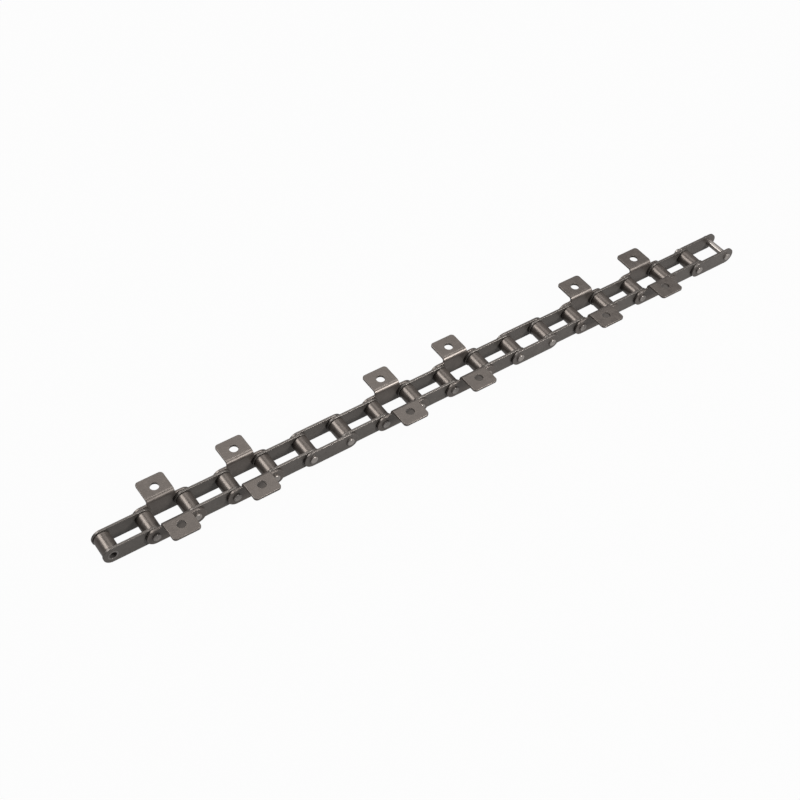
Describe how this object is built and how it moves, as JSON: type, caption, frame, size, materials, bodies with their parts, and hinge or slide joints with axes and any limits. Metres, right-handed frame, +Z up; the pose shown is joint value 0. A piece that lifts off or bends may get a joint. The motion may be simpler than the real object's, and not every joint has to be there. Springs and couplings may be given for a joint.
{
  "type": "conveyor chain",
  "caption": "Straight length of steel roller chain; pairs of outer plates bend out into flat tabs with bolt holes; links fold at their pins and rollers spin.",
  "frame": {"origin": "on the pin axis of the open bush at the first end, midway between the side plates", "axes": "+X along the chain from the open bush to the connecting link, +Y along the pins to the far side, +Z up to the tabs"},
  "size_m": [0.764, 0.0762, 0.0246],
  "materials": {
    "inner_plate_steel": "dark rolled steel, faintly mottled",
    "outer_plate_steel": "dark rolled steel, faintly mottled",
    "tab_plate_steel": "dark rolled steel, brighter on the bend",
    "roller_steel": "satin turned steel",
    "bush_steel": "satin turned steel",
    "pin_steel": "dark steel with peened ends",
    "split_pin_steel": "bright drawn wire"
  },
  "bodies": {
    "inner_link_1": {"inner_link_1_plates": "inner_plate_steel", "inner_link_1_bushes": "bush_steel"},
    "inner_link_2": {"inner_link_2_plates": "inner_plate_steel", "inner_link_2_bushes": "bush_steel"},
    "inner_link_3": {"inner_link_3_plates": "inner_plate_steel", "inner_link_3_bushes": "bush_steel"},
    "inner_link_4": {"inner_link_4_plates": "inner_plate_steel", "inner_link_4_bushes": "bush_steel"},
    "inner_link_5": {"inner_link_5_plates": "inner_plate_steel", "inner_link_5_bushes": "bush_steel"},
    "inner_link_6": {"inner_link_6_plates": "inner_plate_steel", "inner_link_6_bushes": "bush_steel"},
    "inner_link_7": {"inner_link_7_plates": "inner_plate_steel", "inner_link_7_bushes": "bush_steel"},
    "inner_link_8": {"inner_link_8_plates": "inner_plate_steel", "inner_link_8_bushes": "bush_steel"},
    "inner_link_9": {"inner_link_9_plates": "inner_plate_steel", "inner_link_9_bushes": "bush_steel"},
    "outer_link_1": {"outer_link_1_tab_plates": "tab_plate_steel", "outer_link_1_pins": "pin_steel"},
    "outer_link_2": {"outer_link_2_tab_plates": "tab_plate_steel", "outer_link_2_pins": "pin_steel"},
    "outer_link_3": {"outer_link_3_side_plates": "outer_plate_steel", "outer_link_3_pins": "pin_steel"},
    "outer_link_4": {"outer_link_4_tab_plates": "tab_plate_steel", "outer_link_4_pins": "pin_steel"},
    "outer_link_5": {"outer_link_5_tab_plates": "tab_plate_steel", "outer_link_5_pins": "pin_steel"},
    "outer_link_6": {"outer_link_6_side_plates": "outer_plate_steel", "outer_link_6_pins": "pin_steel"},
    "outer_link_7": {"outer_link_7_tab_plates": "tab_plate_steel", "outer_link_7_pins": "pin_steel"},
    "outer_link_8": {"outer_link_8_tab_plates": "tab_plate_steel", "outer_link_8_pins": "pin_steel"},
    "connecting_link": {"connecting_link_fixed_plate": "outer_plate_steel", "connecting_link_pins": "pin_steel", "connecting_link_loose_plate": "outer_plate_steel", "connecting_link_split_pins": "split_pin_steel"},
    "roller_01": {"roller_01": "roller_steel"},
    "roller_02": {"roller_02": "roller_steel"},
    "roller_03": {"roller_03": "roller_steel"},
    "roller_04": {"roller_04": "roller_steel"},
    "roller_05": {"roller_05": "roller_steel"},
    "roller_06": {"roller_06": "roller_steel"},
    "roller_07": {"roller_07": "roller_steel"},
    "roller_08": {"roller_08": "roller_steel"},
    "roller_09": {"roller_09": "roller_steel"},
    "roller_10": {"roller_10": "roller_steel"},
    "roller_11": {"roller_11": "roller_steel"},
    "roller_12": {"roller_12": "roller_steel"},
    "roller_13": {"roller_13": "roller_steel"},
    "roller_14": {"roller_14": "roller_steel"},
    "roller_15": {"roller_15": "roller_steel"},
    "roller_16": {"roller_16": "roller_steel"},
    "roller_17": {"roller_17": "roller_steel"},
    "roller_18": {"roller_18": "roller_steel"}
  },
  "joints": [
    {"name": "link_hinge_02", "type": "hinge", "parent": "outer_link_1", "child": "inner_link_1", "pos_m": [0.0414, 0, 0], "axis": [0, -1, 0], "range_deg": [-140, 140]},
    {"name": "link_hinge_03", "type": "hinge", "parent": "inner_link_2", "child": "outer_link_1", "pos_m": [0.0828, 0, 0], "axis": [0, 1, 0], "range_deg": [-140, 140]},
    {"name": "link_hinge_04", "type": "hinge", "parent": "outer_link_2", "child": "inner_link_2", "pos_m": [0.1242, 0, 0], "axis": [0, -1, 0], "range_deg": [-140, 140]},
    {"name": "link_hinge_05", "type": "hinge", "parent": "inner_link_3", "child": "outer_link_2", "pos_m": [0.1656, 0, 0], "axis": [0, 1, 0], "range_deg": [-140, 140]},
    {"name": "link_hinge_06", "type": "hinge", "parent": "outer_link_3", "child": "inner_link_3", "pos_m": [0.207, 0, 0], "axis": [0, -1, 0], "range_deg": [-140, 140]},
    {"name": "link_hinge_07", "type": "hinge", "parent": "inner_link_4", "child": "outer_link_3", "pos_m": [0.2484, 0, 0], "axis": [0, 1, 0], "range_deg": [-140, 140]},
    {"name": "link_hinge_08", "type": "hinge", "parent": "outer_link_4", "child": "inner_link_4", "pos_m": [0.2898, 0, 0], "axis": [0, -1, 0], "range_deg": [-140, 140]},
    {"name": "link_hinge_09", "type": "hinge", "parent": "inner_link_5", "child": "outer_link_4", "pos_m": [0.3312, 0, 0], "axis": [0, 1, 0], "range_deg": [-140, 140]},
    {"name": "link_hinge_10", "type": "hinge", "parent": "inner_link_5", "child": "outer_link_5", "pos_m": [0.3726, 0, 0], "axis": [0, 1, 0], "range_deg": [-140, 140]},
    {"name": "link_hinge_11", "type": "hinge", "parent": "outer_link_5", "child": "inner_link_6", "pos_m": [0.414, 0, 0], "axis": [0, -1, 0], "range_deg": [-140, 140]},
    {"name": "link_hinge_12", "type": "hinge", "parent": "inner_link_6", "child": "outer_link_6", "pos_m": [0.4554, 0, 0], "axis": [0, 1, 0], "range_deg": [-140, 140]},
    {"name": "link_hinge_13", "type": "hinge", "parent": "outer_link_6", "child": "inner_link_7", "pos_m": [0.4968, 0, 0], "axis": [0, -1, 0], "range_deg": [-140, 140]},
    {"name": "link_hinge_14", "type": "hinge", "parent": "inner_link_7", "child": "outer_link_7", "pos_m": [0.5382, 0, 0], "axis": [0, 1, 0], "range_deg": [-140, 140]},
    {"name": "link_hinge_15", "type": "hinge", "parent": "outer_link_7", "child": "inner_link_8", "pos_m": [0.5796, 0, 0], "axis": [0, -1, 0], "range_deg": [-140, 140]},
    {"name": "link_hinge_16", "type": "hinge", "parent": "inner_link_8", "child": "outer_link_8", "pos_m": [0.621, 0, 0], "axis": [0, 1, 0], "range_deg": [-140, 140]},
    {"name": "link_hinge_17", "type": "hinge", "parent": "outer_link_8", "child": "inner_link_9", "pos_m": [0.6624, 0, 0], "axis": [0, -1, 0], "range_deg": [-140, 140]},
    {"name": "link_hinge_18", "type": "hinge", "parent": "inner_link_9", "child": "connecting_link", "pos_m": [0.7038, 0, 0], "axis": [0, 1, 0], "range_deg": [-140, 140]},
    {"name": "roller_spin_01", "type": "hinge", "parent": "inner_link_1", "child": "roller_01", "pos_m": [0, 0, 0], "axis": [0, 1, 0], "continuous": true},
    {"name": "roller_spin_02", "type": "hinge", "parent": "inner_link_1", "child": "roller_02", "pos_m": [0.0414, 0, 0], "axis": [0, 1, 0], "continuous": true},
    {"name": "roller_spin_03", "type": "hinge", "parent": "inner_link_2", "child": "roller_03", "pos_m": [0.0828, 0, 0], "axis": [0, 1, 0], "continuous": true},
    {"name": "roller_spin_04", "type": "hinge", "parent": "inner_link_2", "child": "roller_04", "pos_m": [0.1242, 0, 0], "axis": [0, 1, 0], "continuous": true},
    {"name": "roller_spin_05", "type": "hinge", "parent": "inner_link_3", "child": "roller_05", "pos_m": [0.1656, 0, 0], "axis": [0, 1, 0], "continuous": true},
    {"name": "roller_spin_06", "type": "hinge", "parent": "inner_link_3", "child": "roller_06", "pos_m": [0.207, 0, 0], "axis": [0, 1, 0], "continuous": true},
    {"name": "roller_spin_07", "type": "hinge", "parent": "inner_link_4", "child": "roller_07", "pos_m": [0.2484, 0, 0], "axis": [0, 1, 0], "continuous": true},
    {"name": "roller_spin_08", "type": "hinge", "parent": "inner_link_4", "child": "roller_08", "pos_m": [0.2898, 0, 0], "axis": [0, 1, 0], "continuous": true},
    {"name": "roller_spin_09", "type": "hinge", "parent": "inner_link_5", "child": "roller_09", "pos_m": [0.3312, 0, 0], "axis": [0, 1, 0], "continuous": true},
    {"name": "roller_spin_10", "type": "hinge", "parent": "inner_link_5", "child": "roller_10", "pos_m": [0.3726, 0, 0], "axis": [0, 1, 0], "continuous": true},
    {"name": "roller_spin_11", "type": "hinge", "parent": "inner_link_6", "child": "roller_11", "pos_m": [0.414, 0, 0], "axis": [0, 1, 0], "continuous": true},
    {"name": "roller_spin_12", "type": "hinge", "parent": "inner_link_6", "child": "roller_12", "pos_m": [0.4554, 0, 0], "axis": [0, 1, 0], "continuous": true},
    {"name": "roller_spin_13", "type": "hinge", "parent": "inner_link_7", "child": "roller_13", "pos_m": [0.4968, 0, 0], "axis": [0, 1, 0], "continuous": true},
    {"name": "roller_spin_14", "type": "hinge", "parent": "inner_link_7", "child": "roller_14", "pos_m": [0.5382, 0, 0], "axis": [0, 1, 0], "continuous": true},
    {"name": "roller_spin_15", "type": "hinge", "parent": "inner_link_8", "child": "roller_15", "pos_m": [0.5796, 0, 0], "axis": [0, 1, 0], "continuous": true},
    {"name": "roller_spin_16", "type": "hinge", "parent": "inner_link_8", "child": "roller_16", "pos_m": [0.621, 0, 0], "axis": [0, 1, 0], "continuous": true},
    {"name": "roller_spin_17", "type": "hinge", "parent": "inner_link_9", "child": "roller_17", "pos_m": [0.6624, 0, 0], "axis": [0, 1, 0], "continuous": true},
    {"name": "roller_spin_18", "type": "hinge", "parent": "inner_link_9", "child": "roller_18", "pos_m": [0.7038, 0, 0], "axis": [0, 1, 0], "continuous": true}
  ]
}
